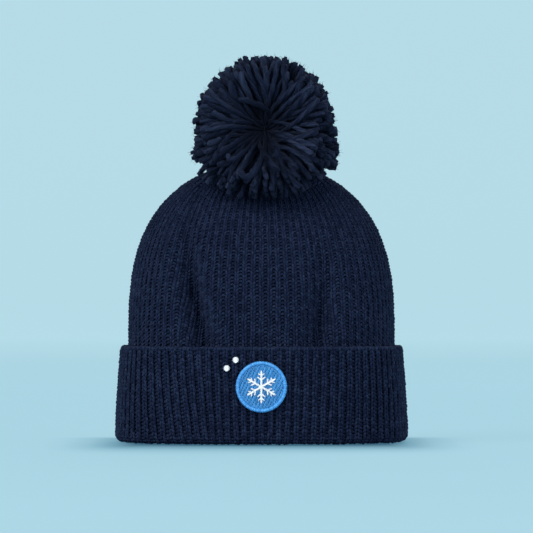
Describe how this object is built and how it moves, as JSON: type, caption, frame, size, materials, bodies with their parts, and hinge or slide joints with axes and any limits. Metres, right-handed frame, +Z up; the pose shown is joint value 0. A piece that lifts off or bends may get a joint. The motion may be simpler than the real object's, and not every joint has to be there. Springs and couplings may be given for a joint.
{
  "type": "pom pom beanie",
  "caption": "Ribbed knit winter hat with a turned-up cuff, a round embroidered badge and a yarn pom pom tied at the crown.",
  "frame": {"origin": "middle of the hat's base, on the surface that the cuff's fold stands on", "axes": "+Z up towards the pom pom, -Y towards the front with the badge, +X to the right seen from the front"},
  "size_m": [0.2148, 0.1859, 0.2823],
  "materials": {
    "knit_navy": "soft matt rib knit, dark navy wool-blend yarn",
    "yarn_navy": "soft matt thick navy yarn",
    "thread_blue": "satin embroidery thread, mid blue",
    "thread_light_blue": "satin embroidery thread, lighter blue",
    "thread_white": "satin embroidery thread, white",
    "backing_white": "matt non-woven embroidery backing"
  },
  "bodies": {
    "hat": {"crown_shell": "knit_navy", "back_seam_thread": "yarn_navy", "crown_gather_yarn": "yarn_navy"},
    "cuff": {"turned_cuff": "knit_navy", "badge_backing": "backing_white", "badge_fill": "thread_blue", "badge_rim": "thread_light_blue", "badge_snowflake": "thread_white", "cuff_dot_high": "thread_white", "cuff_dot_low": "thread_white"},
    "pom_neck": {"pom_tie_cord": "yarn_navy", "tie_knot": "yarn_navy"},
    "pom_binding": {"pom_binder_cord": "yarn_navy"},
    "pom": {"pom_core_yarn": "yarn_navy", "pom_lock_01": "yarn_navy", "pom_lock_02": "yarn_navy", "pom_lock_03": "yarn_navy", "pom_lock_04": "yarn_navy", "pom_lock_05": "yarn_navy", "pom_lock_06": "yarn_navy", "pom_lock_07": "yarn_navy", "pom_lock_08": "yarn_navy", "pom_lock_09": "yarn_navy", "pom_lock_10": "yarn_navy", "pom_lock_11": "yarn_navy", "pom_lock_12": "yarn_navy", "pom_lock_13": "yarn_navy", "pom_lock_14": "yarn_navy", "pom_lock_15": "yarn_navy", "pom_lock_16": "yarn_navy", "pom_lock_17": "yarn_navy", "pom_lock_18": "yarn_navy", "pom_lock_19": "yarn_navy", "pom_lock_20": "yarn_navy", "pom_lock_21": "yarn_navy", "pom_lock_22": "yarn_navy", "pom_lock_23": "yarn_navy", "pom_lock_24": "yarn_navy", "pom_lock_25": "yarn_navy", "pom_lock_26": "yarn_navy", "pom_lock_27": "yarn_navy", "pom_lock_28": "yarn_navy", "pom_lock_29": "yarn_navy", "pom_lock_30": "yarn_navy", "pom_lock_31": "yarn_navy", "pom_lock_32": "yarn_navy", "pom_lock_33": "yarn_navy", "pom_lock_34": "yarn_navy", "pom_lock_35": "yarn_navy"}
  },
  "joints": [
    {"name": "cuff_roll", "type": "slide", "parent": "hat", "child": "cuff", "axis": [0, 0, 1], "range_m": [0, 0.02]},
    {"name": "pom_nod", "type": "hinge", "parent": "hat", "child": "pom_neck", "pos_m": [0, 0, 0.204], "axis": [1, 0, 0], "range_deg": [-8, 8], "stiffness_Nm_per_rad": 0.15, "springref_deg": -2.29},
    {"name": "pom_sway", "type": "hinge", "parent": "pom_neck", "child": "pom_binding", "pos_m": [0, 0, 0.204], "axis": [0, 1, 0], "range_deg": [-8, 8], "stiffness_Nm_per_rad": 0.15},
    {"name": "pom_twist", "type": "hinge", "parent": "pom_binding", "child": "pom", "pos_m": [0, 0, 0.204], "axis": [0.1107, -0.5167, 0.8489], "range_deg": [-20, 20], "stiffness_Nm_per_rad": 0.05}
  ]
}
